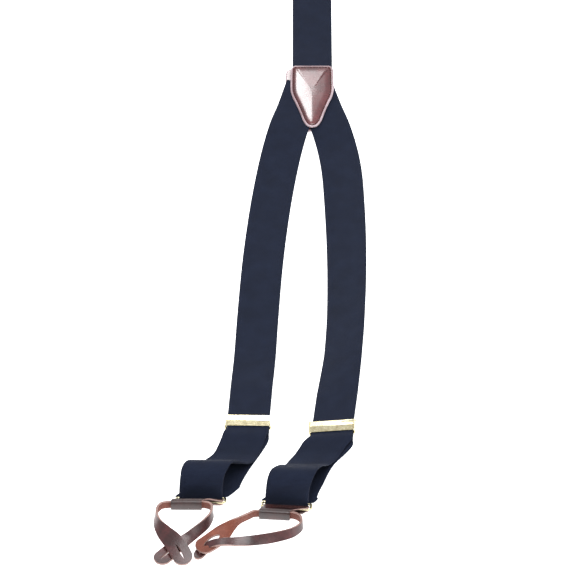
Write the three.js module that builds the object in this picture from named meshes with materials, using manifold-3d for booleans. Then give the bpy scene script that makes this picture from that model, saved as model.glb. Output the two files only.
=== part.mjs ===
// Button-on suspenders with a Y back: woven elastic straps, a leather back patch, two brass
// adjusters, and three leather ends that each hang from a brass ring.
// Millimetres, +Z up. The suspenders lie front side up on a table at z = 0, the straps run
// along -Y from the back patch to the front ends, and the origin is under the middle of the patch.
import * as THREE from 'three';
import * as BufferGeometryUtils from 'three/addons/utils/BufferGeometryUtils.js';
import Module from 'manifold-3d';

const wasm = await Module();
wasm.setup();

// ---------------------------------------------------------------- driving dimensions
const CLEARANCE = 0.3; // between pieces that touch or turn in each other

const WEB_WIDTH = 39.5; // woven elastic, sold as 40 mm
const WEB_THICKNESS = 1.3;

const PATCH_LENGTH = 90;
const PATCH_TOP_Y = 38;
const PATCH_WIDTH = 43; // the front leather
const PATCH_SHIFT = 2.6; // it is sewn a little to one side of the backing
const BACKING_WIDTH = 46;
const BACKING_SHIFT = -0.4;
const PATCH_LEATHER = 1.6;
const PATCH_STITCH_INSET = 3;
const PATCH_THREAD = 0.8;

const BACK_RING_Y = 212; // where the back strap turns round its ring
const BACK_STRAP_X = 3;
const STRAP_BUTT_Y = 20; // the back strap starts here inside the patch
const FRONT_STRAP_TOP = STRAP_BUTT_Y - 6; // and the front straps, cut square, start here
const BACK_TAIL = 32; // webbing turned back behind the ring and sewn down
const BAR_TACK_LENGTH = 30;
const BAR_TACK_WIDTH = 3;
const BAR_TACK_HEIGHT = 0.8;

const WIRE = 2.6; // the rings' wire
const RING_SPARE = 3; // how much wider than the webbing a ring is inside
const RING_PITCH = 7; // from a ring's upper bar to its lower bar
const RING_BEND = 2.2; // centreline radius of a ring's corners

const CUFF_LEATHER = 1.2;
const CUFF_END_WIDTH = 28; // at the tunnel
const CUFF_DEPTH = 10; // from the ring's lower bar to the tunnel

const TAB_WIDTH = 8; // the button strap in its tunnel
const TAB_THICKNESS = 2.2;
const TAB_END_WIDTH = 18;
const BUTTONHOLE_LENGTH = 15;
const BUTTONHOLE_SLIT = 2.6;
const BUTTONHOLE_EYE = 6.2;

const SLIDE_LENGTH = 12; // the adjuster, along the strap
const SHEET = 1; // brass sheet of the adjuster's frame
const LEVER_SHEET = 0.8;
const EAR_THICKNESS = 0.9;
const PIN_RADIUS = 0.75;
const PIN_HEAD_RADIUS = 1.4;
const PIN_HEAD_HEIGHT = 0.7;
const TOOTH_COUNT = 12;

// ---------------------------------------------------------------- worked-out sizes
const WEB_HALF = WEB_THICKNESS / 2;
const ON_TABLE = 0.2 + WEB_HALF; // the middle of webbing that lies on the table
const OVER_RETURN = ON_TABLE + WEB_THICKNESS + CLEARANCE; // and of webbing that lies on that
const WIRE_RADIUS = WIRE / 2;
const RING_INSIDE = WEB_WIDTH + RING_SPARE;
const WRAP_RADIUS = WIRE_RADIUS + CLEARANCE + WEB_HALF;
const RING_HEIGHT = CLEARANCE + WEB_HALF + WRAP_RADIUS; // a ring's upper bar above the table
const CUFF_WIDTH = RING_INSIDE - 2 * CLEARANCE;
const CUFF_WRAP = WIRE_RADIUS + CLEARANCE + CUFF_LEATHER / 2;
const TUNNEL_Z = CUFF_LEATHER + 2 * CLEARANCE + TAB_WIDTH / 2;
const TUNNEL_HALF_HEIGHT = TAB_WIDTH / 2 + CLEARANCE + CUFF_LEATHER / 2;
const TUNNEL_HALF_DEPTH = TAB_THICKNESS / 2 + CLEARANCE + CUFF_LEATHER / 2;

// Heights in the patch: backing leather, right strap, left strap, front leather.
const LOWER_LAYER = PATCH_LEATHER + CLEARANCE + WEB_HALF;
const UPPER_LAYER = LOWER_LAYER + WEB_THICKNESS + CLEARANCE;
const PATCH_TOP_LAYER = UPPER_LAYER + WEB_HALF + CLEARANCE;

// Heights in an adjuster's own frame, whose z = 0 is the table under a flat strap.
const FRAME_Z = ON_TABLE + WEB_HALF + CLEARANCE; // underside of the base plate
const BAR_TOP = FRAME_Z + SHEET;
const TAIL_Z = BAR_TOP + CLEARANCE + WEB_HALF;
const STRAP_Z = TAIL_Z + WEB_THICKNESS + CLEARANCE; // the strap that the adjuster slides on
const STRAP_TOP = STRAP_Z + WEB_HALF;
const BARREL_RADIUS = PIN_RADIUS + CLEARANCE + 0.6;
const TOOTH_HEIGHT = 0.6;
const PIVOT_Z = STRAP_TOP + CLEARANCE + TOOTH_HEIGHT + BARREL_RADIUS - 0.2;
const PIVOT_Y = SLIDE_LENGTH / 2 - BARREL_RADIUS - 0.3;
const EAR_INSIDE = WEB_WIDTH / 2 + 1.2;
const EAR_TOP = PIVOT_Z + 1.5;
const WINDOW_HALF = WEB_WIDTH / 2 + 0.5;
const BAR_LENGTH = 2.6; // the base plate's rear bar, along the strap
const WINDOW_LENGTH = WEB_THICKNESS + 4 * CLEARANCE;

// ---------------------------------------------------------------- the three ends
// An adjuster's place: its middle, the turn of its strap about Z, and its lean about the strap.
const ADJUSTERS = {
  left: { x: -58, y: -452.4, z: 1, turn: 3.6, lean: 2.5 },
  right: { x: 20.8, y: -462.6, z: 4.6, turn: 6.3, lean: 12 },
};

// A ring's place: the middle of its upper bar, the turn of the whole end about Z, the tilt of
// the ring off the table, how far its tunnel sits sideways from its middle, and how far the
// tunnel is lifted off the table.
const ENDS = {
  left: { x: -101, y: -545, turn: 0, tilt: 15, skew: -13, lift: 5.5 },
  right: { x: -22.5, y: -551, turn: -4, tilt: 6, skew: -10, lift: 0 },
  back: { x: BACK_STRAP_X, y: BACK_RING_Y, turn: 180, tilt: 0, skew: 0, lift: 0 },
};

// The long front straps from the patch to the straight stretch above the adjuster:
// x, y, height of the middle line above the table, lean in degrees (right edge up).
const LONG_STRAPS = {
  left: [
    [-3.5, FRONT_STRAP_TOP, UPPER_LAYER, 0],
    [-7, 0, UPPER_LAYER, 0],
    [-13, -24, UPPER_LAYER, 0],
    [-19.5, -46, UPPER_LAYER, 0],
    [-26, -75, OVER_RETURN, 0],
    [-32, -110, ON_TABLE, 0],
    [-39, -165, ON_TABLE, 0],
    [-45.5, -235, ON_TABLE, 0],
    [-50, -310, ON_TABLE, 0],
    [-52.6, -365, 2.2, 1],
  ],
  right: [
    [3.5, FRONT_STRAP_TOP, LOWER_LAYER, 0],
    [7, 0, LOWER_LAYER, 0],
    [13.5, -24, LOWER_LAYER, 0],
    [20, -46, LOWER_LAYER, 0],
    [26.5, -75, ON_TABLE + 0.2, 1],
    [31, -110, 2.2, 3],
    [33.6, -165, 4.6, 10],
    [34.9, -235, 6.9, 17],
    [33.6, -310, 9, 23],
    [30.4, -365, 9.4, 23],
  ],
};

// The slack front leg from the adjuster down to the ring: x and y from the ring's middle,
// height above the table.
const SLACK_LEGS = {
  left: [
    [39.6, 77, OVER_RETURN + 4],
    [36, 66, OVER_RETURN + 1.9],
    [30.5, 52, OVER_RETURN + 1.4],
    [21.5, 39, 8.5],
    [12.8, 29.5, 22],
    [7, 19.5, 30.5],
    [2.5, 9, 29],
    [0.5, 2, 19.5],
  ],
  right: [
    [34.6, 79, OVER_RETURN + 8.2],
    [29.3, 69, OVER_RETURN + 6.2],
    [23.4, 57, OVER_RETURN + 4.8],
    [16.5, 43.5, 9.6],
    [10.5, 28, 24],
    [5, 14.5, 31],
    [1.5, 4.8, 25.5],
    [0.3, 0.3, 15],
  ],
};

// The way that the webbing takes under the slack leg, from the ring back to the adjuster.
const RETURN_LEGS = {
  left: [[5.5, 9, ON_TABLE + 0.4], [13.5, 19, ON_TABLE + 0.6], [25, 42, ON_TABLE + 0.9]],
  right: [[4.5, 8.5, ON_TABLE + 1.5], [11, 24, ON_TABLE + 2.5], [20.5, 50, ON_TABLE + 3.5]],
};

const LEFT_TUNNEL_Z = TUNNEL_Z + ENDS.left.lift;
// Button straps from one end to the other, from the middle of the tunnel: x, y, height above
// the table, roll in degrees (90 stands on edge, 180 shows the flesh side), and flare, from 0
// where the strap is TAB_WIDTH wide to 1 where it is TAB_END_WIDTH wide.
const TAB_PATHS = {
  left: [
    [1, -65.5, 3.4, 6, 0.9],
    [-4.3, -54, 6, 12, 1],
    [-11, -42.5, 7.8, 20, 0.95],
    [-19.5, -31, 8, 34, 0.6],
    [-26, -19.5, 8.6, 58, 0.15],
    [-27, -8.5, LEFT_TUNNEL_Z - 1, 84, 0],
    [-23, -1.8, LEFT_TUNNEL_Z, 90, 0],
    [-17, 0, LEFT_TUNNEL_Z, 90, 0],
    [0, 0, LEFT_TUNNEL_Z, 90, 0],
    [17, 0, LEFT_TUNNEL_Z, 90, 0],
    [22.5, -2.8, LEFT_TUNNEL_Z, 90, 0],
    [23.4, -9, 9, 80, 0],
    [18.8, -18, 6.6, 64, 0.15],
    [10, -27.2, 5.2, 48, 0.2],
    [-0.5, -36.5, 3.3, 22, 0.3],
    [-10.3, -45, 2.2, 3, 0.6],
    [-18, -53.2, 1.8, 0, 0.8],
    [-26, -62, 1.7, 0, 0.8],
  ],
  right: [
    [-66.5, -47.5, 4.9, 180, 1],
    [-55.5, -37.5, 5.1, 178, 1],
    [-46.5, -27, 5.4, 168, 0.85],
    [-39, -17.5, 6, 132, 0.3],
    [-31.5, -9.5, TUNNEL_Z, 96, 0],
    [-23.5, -3.5, TUNNEL_Z, 90, 0],
    [-18, 0, TUNNEL_Z, 90, 0],
    [0, 0, TUNNEL_Z, 90, 0],
    [18, 0, TUNNEL_Z, 90, 0],
    [24, -4, TUNNEL_Z, 90, 0],
    [25.5, -11.5, TUNNEL_Z, 80, 0],
    [19, -20, TUNNEL_Z, 66, 0.1],
    [4.5, -27.5, 6.4, 56, 0.15],
    [-12, -33.5, 7.6, 42, 0.15],
    [-31, -38, 8.6, 14, 0.05],
    [-44, -39.5, 8.8, 0, 0],
    [-51.5, -40, 7.2, 0, 0],
    [-57.5, -41.2, 4.2, 0, 0],
    [-61.4, -44.6, 1.9, 0, 0.15],
    [-64.6, -49.4, 1.4, 0, 0.25],
    [-66.8, -54.8, 1.4, 0, 0.3],
  ],
  back: [
    [-13, -68, 1.4, 0, 0.9],
    [-13.5, -50, 2, 0, 0.9],
    [-20, -34, 5.4, 30, 0.25],
    [-26, -17, TUNNEL_Z, 84, 0],
    [-24.5, -4, TUNNEL_Z, 90, 0],
    [-18, 0, TUNNEL_Z, 90, 0],
    [0, 0, TUNNEL_Z, 90, 0],
    [18, 0, TUNNEL_Z, 90, 0],
    [24.5, -4, TUNNEL_Z, 90, 0],
    [26, -17, TUNNEL_Z, 84, 0],
    [20, -34, 5.4, 30, 0.25],
    [13.5, -50, 2, 0, 0.9],
    [13, -68, 1.4, 0, 0.9],
  ],
};
const SAMPLES = 3; // stations from one of a path's points to the next

// ---------------------------------------------------------------- materials
function finish(color, roughness, metalness) {
  return new THREE.MeshStandardMaterial({ color, roughness, metalness });
}
const WEBBING = () => finish(0x1f2a44, 0.9, 0);
const PATCH_SKIN = () => finish(0x4a1418, 0.3, 0);
const CUFF_SKIN = () => finish(0x3a1715, 0.35, 0);
const TAB_SKIN = () => finish(0x4b1c1b, 0.32, 0);
const BRASS = () => finish(0xcfb983, 0.25, 1);
const THREAD = () => finish(0x3a2226, 0.8, 0);

// ---------------------------------------------------------------- geometry helpers
const X_AXIS = new THREE.Vector3(1, 0, 0);
const Z_AXIS = new THREE.Vector3(0, 0, 1);
const radians = THREE.MathUtils.degToRad;
const vec = (x, y, z) => new THREE.Vector3(x, y, z);

// A closed solid through rings of corners, each ring with the same number of corners.
function loft(rings, closed = false) {
  const count = rings[0].length;
  const positions = rings.flat().flatMap((p) => [p.x, p.y, p.z]);
  const indices = [];
  const last = closed ? rings.length : rings.length - 1;
  for (let i = 0; i < last; i += 1) {
    const a = i * count;
    const b = ((i + 1) % rings.length) * count;
    for (let j = 0; j < count; j += 1) {
      const k = (j + 1) % count;
      indices.push(a + j, a + k, b + k, a + j, b + k, b + j);
    }
  }
  if (!closed) {
    const end = (rings.length - 1) * count;
    for (let j = 1; j < count - 1; j += 1) {
      indices.push(0, j + 1, j, end, end + j, end + j + 1);
    }
  }
  const geometry = new THREE.BufferGeometry();
  geometry.setAttribute('position', new THREE.Float32BufferAttribute(positions, 3));
  geometry.setIndex(indices);
  return facingOut(geometry);
}

function signedVolume(geometry) {
  const position = geometry.getAttribute('position');
  const index = geometry.getIndex();
  const [a, b, c] = [vec(0, 0, 0), vec(0, 0, 0), vec(0, 0, 0)];
  let sum = 0;
  for (let i = 0; i < index.count; i += 3) {
    a.fromBufferAttribute(position, index.getX(i));
    b.fromBufferAttribute(position, index.getX(i + 1));
    c.fromBufferAttribute(position, index.getX(i + 2));
    sum += a.dot(b.cross(c));
  }
  return sum / 6;
}

function facingOut(geometry) {
  if (signedVolume(geometry) >= 0) return geometry;
  const index = geometry.getIndex();
  for (let i = 0; i < index.count; i += 3) {
    const held = index.getX(i + 1);
    index.setX(i + 1, index.getX(i + 2));
    index.setX(i + 2, held);
  }
  return geometry;
}

// A flat ribbon through stations that each give a middle, a half width and a half thickness.
function ribbon(stations) {
  return loft(stations.map(({ middle, across, through }) => [
    middle.clone().sub(across).sub(through),
    middle.clone().add(across).sub(through),
    middle.clone().add(across).add(through),
    middle.clone().sub(across).add(through),
  ]));
}

function solid(geometry) {
  const plain = geometry.clone();
  plain.deleteAttribute('normal');
  plain.deleteAttribute('uv');
  const merged = BufferGeometryUtils.mergeVertices(plain, 1e-4);
  return new wasm.Manifold(new wasm.Mesh({
    numProp: 3,
    vertProperties: new Float32Array(merged.getAttribute('position').array),
    triVerts: new Uint32Array(merged.getIndex().array),
  }));
}

function meshed(manifold) {
  const { vertProperties, triVerts } = manifold.getMesh();
  const geometry = new THREE.BufferGeometry();
  geometry.setAttribute('position', new THREE.BufferAttribute(vertProperties, 3));
  geometry.setIndex(new THREE.BufferAttribute(triVerts, 1));
  return geometry;
}

function named(name, geometry, material) {
  const mesh = new THREE.Mesh(geometry, material);
  mesh.name = name;
  return mesh;
}

// A flat shape in the Y-Z plane, extruded along X about x = 0.
function alongX(shape, width) {
  const geometry = new THREE.ExtrudeGeometry(shape, {
    depth: width, bevelEnabled: false, curveSegments: 5,
  });
  geometry.translate(0, 0, -width / 2);
  // The shape's x and y become the part's Y and Z.
  geometry.applyMatrix4(new THREE.Matrix4().makeBasis(vec(0, 1, 0), vec(0, 0, 1), vec(1, 0, 0)));
  return geometry;
}

function outline(points) {
  return new THREE.Shape(points.map(([x, y]) => new THREE.Vector2(x, y)));
}

// ---------------------------------------------------------------- places
function adjusterPlace(side) {
  const { x, y, z, turn, lean } = ADJUSTERS[side];
  return new THREE.Matrix4()
    .makeTranslation(x, y, z)
    .multiply(new THREE.Matrix4().makeRotationZ(-radians(turn)))
    .multiply(new THREE.Matrix4().makeRotationY(-radians(lean)));
}

function endPlace(side) {
  const { x, y, turn } = ENDS[side];
  return new THREE.Matrix4()
    .makeTranslation(x, y, 0)
    .multiply(new THREE.Matrix4().makeRotationZ(radians(turn)));
}

function ringBar(side) {
  const tilt = radians(ENDS[side].tilt);
  return {
    y: -RING_PITCH * Math.cos(tilt),
    z: RING_HEIGHT + RING_PITCH * Math.sin(tilt),
  };
}

// The cuff is as deep whether its tunnel lies on the table or is lifted.
function tunnelY(side) {
  return ringBar(side).y - Math.sqrt(CUFF_DEPTH ** 2 - ENDS[side].lift ** 2);
}

// ---------------------------------------------------------------- the back patch
// A patch's outline: a shield with round shoulders, drawn in to a blunt tip.
function patchOutline(width, shift, inset) {
  const half = width / 2;
  const top = PATCH_TOP_Y;
  const tip = top - PATCH_LENGTH;
  const side = [
    [half * 0.8, top],
    [half * 0.95, top - 3],
    [half * 0.985, top - 10],
    [half, top - 24],
    [half * 0.99, top - 37],
    [half * 0.91, top - 46],
    [half * 0.78, top - 54],
    [half * 0.58, top - 68],
    [half * 0.39, tip + 8],
    [half * 0.22, tip + 2],
    [0, tip],
  ];
  const points = side.map(([x, y]) => vec(x, y, 0));
  const curve = new THREE.CatmullRomCurve3(points);
  const right = curve.getPoints(18);
  const left = right.slice(0, -1).reverse().map((p) => vec(-p.x, p.y, 0));
  const ring = [...right, ...left];
  const middle = vec(0, top - PATCH_LENGTH * 0.42, 0);
  return ring.map((p) => {
    const inward = middle.clone().sub(p).setLength(inset);
    return p.clone().add(inward).setX(p.x + inward.x + shift);
  });
}

function patchLeather(name, bottom, width, shift) {
  const ring = patchOutline(width, shift, 0);
  const shape = new THREE.Shape(ring.map((p) => new THREE.Vector2(p.x, p.y)));
  const geometry = new THREE.ExtrudeGeometry(shape, { depth: PATCH_LEATHER, bevelEnabled: false });
  geometry.translate(0, 0, bottom);
  return named(name, geometry, PATCH_SKIN());
}

// The stitching that runs round a patch, as one closed cord of thread on its front.
function patchStitching() {
  const height = PATCH_TOP_LAYER + PATCH_LEATHER + CLEARANCE + PATCH_THREAD / 2;
  const path = patchOutline(PATCH_WIDTH, PATCH_SHIFT, PATCH_STITCH_INSET);
  const rings = path.map((p, i) => {
    const next = path[(i + 1) % path.length];
    const before = path[(i + path.length - 1) % path.length];
    const along = next.clone().sub(before).normalize();
    const side = Z_AXIS.clone().cross(along).multiplyScalar(PATCH_THREAD / 2);
    const up = Z_AXIS.clone().multiplyScalar(PATCH_THREAD / 2);
    const middle = vec(p.x, p.y, height);
    return [side, up, side.clone().negate(), up.clone().negate()].map((d) => middle.clone().add(d));
  });
  return named('patch_stitching', loft(rings, true), THREAD());
}

// ---------------------------------------------------------------- webbing
// Half the webbing's width along a direction that the strap may cross at a slant.
function webAcross(direction, tangent) {
  const slant = Math.max(0.8, tangent.clone().cross(direction).length());
  return direction.clone().multiplyScalar(WEB_WIDTH / 2 / slant);
}

function webStation(middle, tangent, direction) {
  const across = webAcross(direction, tangent);
  const through = tangent.clone().cross(direction).setLength(WEB_HALF);
  return { middle, across, through };
}

// Points of an arc round a ring's upper bar, from its front at angle `from` to underneath it.
function wrapPoints(side, from) {
  const place = endPlace(side);
  const steps = 5;
  return Array.from({ length: steps + 1 }, (_, i) => {
    const angle = radians(from + ((180 - from) * i) / steps);
    const y = -WRAP_RADIUS * Math.sin(angle);
    const z = RING_HEIGHT + WRAP_RADIUS * Math.cos(angle);
    return vec(0, y, z).applyMatrix4(place);
  });
}

function planPerpendicular(tangent, lean) {
  const flat = vec(-tangent.y, tangent.x, 0).normalize();
  const up = Z_AXIS.clone().multiplyScalar(Math.sin(lean));
  return flat.multiplyScalar(Math.cos(lean)).add(up).normalize();
}

// A front strap: from the patch, through the adjuster, over its slack and round the ring.
function frontStrap(side) {
  const place = adjusterPlace(side);
  const end = endPlace(side);
  const straight = [44, 36, -4, -8].map((y) => vec(0, y, STRAP_Z).applyMatrix4(place));
  const long = LONG_STRAPS[side].map(([x, y, z, lean]) => ({ p: vec(x, y, z), lean }));
  const held = straight.map((p) => ({ p, at: 'adjuster' }));
  const slack = SLACK_LEGS[side].map(([x, y, z], i, all) => ({
    p: vec(x, y, z).applyMatrix4(end), at: 'slack', share: (i + 1) / all.length,
  }));
  const wrap = wrapPoints(side, 75).map((p) => ({ p, at: 'ring' }));
  const all = [...long, ...held, ...slack, ...wrap];
  const curve = new THREE.CatmullRomCurve3(all.map(({ p }) => p), false, 'centripetal');
  const adjusterAcross = X_AXIS.clone().transformDirection(place);
  const ringAcross = X_AXIS.clone().transformDirection(end);
  const acrossAt = all.map(({ lean, at, share }, i) => {
    if (at === 'adjuster') return adjusterAcross;
    if (at === 'ring') return ringAcross;
    if (at === 'slack') return adjusterAcross.clone().lerp(ringAcross, share).normalize();
    return planPerpendicular(curve.getTangent(i / (all.length - 1)), radians(lean));
  });
  const count = (all.length - 1) * SAMPLES;
  const stations = Array.from({ length: count + 1 }, (_, i) => {
    const t = i / count;
    const at = t * (all.length - 1);
    const low = Math.min(Math.floor(at), all.length - 2);
    const direction = acrossAt[low].clone().lerp(acrossAt[low + 1], at - low).normalize();
    return webStation(curve.getPoint(t), curve.getTangent(t), direction);
  });
  return named(`front_strap_${side}`, ribbon(stations), WEBBING());
}

// The webbing's way back from the ring to the adjuster, ending round the adjuster's rear bar.
function returnLeg(side) {
  const place = adjusterPlace(side);
  const end = endPlace(side);
  const bottom = RING_HEIGHT - WRAP_RADIUS;
  const from = [0.6, 3].map((y) => vec(0, y, bottom + y * 0.02).applyMatrix4(end));
  const under = RETURN_LEGS[side].map(([x, y, z]) => vec(x, y, z).applyMatrix4(end));
  const windowEdge = -SLIDE_LENGTH / 2 + BAR_LENGTH;
  const turn = windowEdge + 2 * CLEARANCE + WEB_HALF;
  const middle = (ON_TABLE + TAIL_Z) / 2;
  const round = [
    [-16, ON_TABLE],
    [-11, ON_TABLE],
    [windowEdge - 0.2, ON_TABLE],
    [turn - 0.3, middle - 0.8],
    [turn, middle],
    [turn - 0.3, middle + 0.8],
    [windowEdge - 0.2, TAIL_Z],
    [-14, TAIL_Z],
  ].map(([y, z]) => vec(0, y, z).applyMatrix4(place));
  const points = [...from, ...under, ...round];
  const curve = new THREE.CatmullRomCurve3(points, false, 'centripetal');
  const adjusterAcross = X_AXIS.clone().transformDirection(place);
  const ringAcross = X_AXIS.clone().transformDirection(end);
  const count = (points.length - 1) * SAMPLES;
  const stations = Array.from({ length: count + 1 }, (_, i) => {
    const t = i / count;
    const share = THREE.MathUtils.clamp((t * (points.length - 1) - 1) / (under.length + 1), 0, 1);
    const direction = ringAcross.clone().lerp(adjusterAcross, share).normalize();
    return webStation(curve.getPoint(t), curve.getTangent(t), direction);
  });
  return named(`return_leg_${side}`, ribbon(stations), WEBBING());
}

// The back strap: from the patch, round the back ring, and back under itself.
function backStrap() {
  const main = LOWER_LAYER;
  const bottom = RING_HEIGHT - WRAP_RADIUS;
  const top = RING_HEIGHT + WRAP_RADIUS;
  const tailEnd = BACK_RING_Y - BACK_TAIL;
  const before = [
    [STRAP_BUTT_Y, main],
    [44, main],
    [70, ON_TABLE + 0.2],
    [100, ON_TABLE],
    [tailEnd - 40, ON_TABLE],
    [tailEnd - 24, ON_TABLE + 0.2],
    [tailEnd - 4, bottom + WEB_THICKNESS + CLEARANCE],
    [BACK_RING_Y - 12, bottom + WEB_THICKNESS + CLEARANCE],
    [BACK_RING_Y - 2.2, top - 0.2],
  ].map(([y, z]) => vec(BACK_STRAP_X, y, z));
  const tail = [BACK_RING_Y - 1.5, BACK_RING_Y - 8, tailEnd]
    .map((y) => vec(BACK_STRAP_X, y, bottom));
  const points = [...before, ...wrapPoints('back', 20), ...tail];
  const curve = new THREE.CatmullRomCurve3(points, false, 'centripetal');
  const count = (points.length - 1) * SAMPLES;
  const stations = Array.from({ length: count + 1 }, (_, i) => (
    webStation(curve.getPoint(i / count), curve.getTangent(i / count), X_AXIS)
  ));
  return named('back_strap', ribbon(stations), WEBBING());
}

// The row of dense stitches that sews the back strap's turned end down.
function barTack() {
  const geometry = new THREE.BoxGeometry(BAR_TACK_LENGTH, BAR_TACK_WIDTH, BAR_TACK_HEIGHT);
  const strapTop = RING_HEIGHT - WRAP_RADIUS + WEB_THICKNESS + CLEARANCE + WEB_HALF;
  geometry.translate(BACK_STRAP_X, BACK_RING_Y - BACK_TAIL + 8, strapTop + CLEARANCE + BAR_TACK_HEIGHT / 2);
  return named('back_bar_tack', geometry, THREAD());
}

// ---------------------------------------------------------------- ring, cuff and button strap
function ring(side) {
  const halfX = RING_INSIDE / 2 + WIRE_RADIUS;
  const halfY = RING_PITCH / 2;
  const shape = new THREE.Path();
  const right = halfX - RING_BEND;
  const up = halfY - RING_BEND;
  shape.absarc(right, up, RING_BEND, 0, Math.PI / 2, false);
  shape.absarc(-right, up, RING_BEND, Math.PI / 2, Math.PI, false);
  shape.absarc(-right, -up, RING_BEND, Math.PI, Math.PI * 1.5, false);
  shape.absarc(right, -up, RING_BEND, Math.PI * 1.5, Math.PI * 2, false);
  const path = shape.getPoints(4);
  path.pop();
  const sides = 8;
  const rings = path.map((p, i) => {
    const next = path[(i + 1) % path.length];
    const before = path[(i + path.length - 1) % path.length];
    const along = vec(next.x - before.x, next.y - before.y, 0).normalize();
    const out = along.clone().cross(Z_AXIS);
    return Array.from({ length: sides }, (_, j) => {
      const angle = (2 * Math.PI * (j + 0.5)) / sides;
      return vec(p.x, p.y - halfY, 0)
        .addScaledVector(out, WIRE_RADIUS * Math.cos(angle))
        .addScaledVector(Z_AXIS, WIRE_RADIUS * Math.sin(angle));
    });
  });
  const mesh = named(`${side}_ring`, loft(rings, true), BRASS());
  mesh.rotation.x = -radians(ENDS[side].tilt);
  mesh.position.z = RING_HEIGHT;
  return mesh;
}

// A leather cuff: one strip folded round the ring's lower bar and round the button strap.
function cuff(side) {
  const bar = ringBar(side);
  const tunnel = tunnelY(side);
  const high = TUNNEL_Z + ENDS[side].lift + TUNNEL_HALF_HEIGHT;
  const low = TUNNEL_Z + ENDS[side].lift - TUNNEL_HALF_HEIGHT;
  const bend = 0.6;
  const seam = bar.y - 3.6;
  const start = [[seam, low], [bar.y - 1.2, Math.min(bar.z - CUFF_WRAP + 0.2, low + 1.6)]];
  const round = Array.from({ length: 7 }, (_, i) => {
    const angle = radians(-80 + (180 * i) / 6);
    return [bar.y + CUFF_WRAP * Math.cos(angle), bar.z + CUFF_WRAP * Math.sin(angle)];
  });
  const tunnelFold = [
    [tunnel + TUNNEL_HALF_DEPTH, high],
    [tunnel, high + 0.05],
    [tunnel - TUNNEL_HALF_DEPTH + bend, high - 0.1],
    [tunnel - TUNNEL_HALF_DEPTH, high - bend],
    [tunnel - TUNNEL_HALF_DEPTH, low + bend],
    [tunnel - TUNNEL_HALF_DEPTH + bend, low + 0.1],
    [tunnel + bend, low],
    [seam - CUFF_LEATHER * 0.75, low],
  ];
  const path = [...start, ...round, ...tunnelFold].map(([y, z]) => vec(0, y, z));
  const stations = path.map((p, i) => {
    const before = path[Math.max(i - 1, 0)];
    const after = path[Math.min(i + 1, path.length - 1)];
    const incoming = p.clone().sub(before).normalize();
    const outgoing = after.clone().sub(p).normalize();
    const tangent = incoming.clone().add(outgoing).normalize();
    const corner = i > 0 && i < path.length - 1 ? Math.max(0.75, tangent.dot(outgoing)) : 1;
    const share = THREE.MathUtils.clamp((bar.y - p.y) / (bar.y - tunnel), 0, 1);
    const half = THREE.MathUtils.lerp(CUFF_WIDTH, CUFF_END_WIDTH, share) / 2;
    const middle = p.clone().setX(ENDS[side].skew * share);
    const through = tangent.clone().cross(X_AXIS).setLength(CUFF_LEATHER / 2 / corner);
    return { middle, across: vec(half, 0, 0), through };
  });
  return named(`${side}_cuff`, ribbon(stations), CUFF_SKIN());
}

// Stations along a button strap between two of its path's points.
function tabStations(side, first, last, spare) {
  const path = TAB_PATHS[side];
  const y0 = tunnelY(side);
  const x0 = ENDS[side].skew;
  const curve = new THREE.CatmullRomCurve3(
    path.map(([x, y, z]) => vec(x + x0, y + y0, z)),
    false,
    'centripetal',
  );
  const shape = new THREE.CatmullRomCurve3(
    path.map(([, , , roll, flare]) => vec(radians(roll), flare, 0)),
    false,
    'catmullrom',
  );
  const spans = path.length - 1;
  const count = (last - first) * SAMPLES;
  const endRound = 0.32; // the share of a path's first span that rounds off its end
  return Array.from({ length: count + 1 }, (_, i) => {
    const at = first + i / SAMPLES;
    const t = at / spans;
    const { x: roll, y: flare } = shape.getPoint(t);
    const tangent = curve.getTangent(t);
    const flat = tangent.clone().cross(Z_AXIS).normalize();
    const rise = flat.clone().cross(tangent);
    const direction = flat.multiplyScalar(Math.cos(roll)).addScaledVector(rise, Math.sin(roll));
    const wide = THREE.MathUtils.lerp(TAB_WIDTH, TAB_END_WIDTH, Math.max(flare, 0));
    const nearEnd = Math.min(at, spans - at);
    const rounding = nearEnd < endRound ? 0.55 + (0.45 * nearEnd) / endRound : 1;
    return {
      middle: curve.getPoint(t),
      across: direction.clone().multiplyScalar((wide * rounding) / 2 + spare),
      through: tangent.clone().cross(direction).setLength(TAB_THICKNESS / 2 + spare),
    };
  });
}

// The keyhole that cuts a buttonhole: its eye is at a station, on the side of the strap's end.
function buttonholeCutter(station, next) {
  const along = next.middle.clone().sub(station.middle).normalize();
  const up = station.through.clone().normalize();
  const side = up.clone().cross(along).normalize();
  const reach = 12;
  const eye = new THREE.CylinderGeometry(BUTTONHOLE_EYE / 2, BUTTONHOLE_EYE / 2, reach, 16);
  eye.rotateX(Math.PI / 2);
  const slitLength = BUTTONHOLE_LENGTH - BUTTONHOLE_EYE / 2;
  const slit = new THREE.BoxGeometry(slitLength, BUTTONHOLE_SLIT, reach);
  slit.translate(-slitLength / 2, 0, 0);
  const both = solid(eye).add(solid(slit));
  const geometry = meshed(both);
  geometry.applyMatrix4(new THREE.Matrix4().makeBasis(along, side, up).setPosition(station.middle));
  return solid(facingOut(geometry));
}

// A button strap's two halves meet in the tunnel. The second half may pass through the first.
function buttonStrap(side) {
  const spans = TAB_PATHS[side].length - 1;
  const middle = TAB_PATHS[side].findIndex(([x, y]) => x === 0 && y === 0);
  const firstHalf = tabStations(side, 0, middle, 0);
  const secondHalf = tabStations(side, middle, spans, 0);
  let first = solid(ribbon(firstHalf));
  let second = solid(ribbon(secondHalf));
  const at = secondHalf.length - 3;
  second = second.subtract(buttonholeCutter(secondHalf[at], secondHalf[at + 1]));
  if (side === 'right') {
    const passing = tabStations(side, spans - 6, spans - 2, 2 * CLEARANCE);
    first = first.subtract(solid(ribbon(passing)));
  } else {
    first = first.subtract(buttonholeCutter(firstHalf[2], firstHalf[1]));
  }
  return named(`${side}_button_strap`, meshed(first.add(second)), TAB_SKIN());
}

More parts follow.
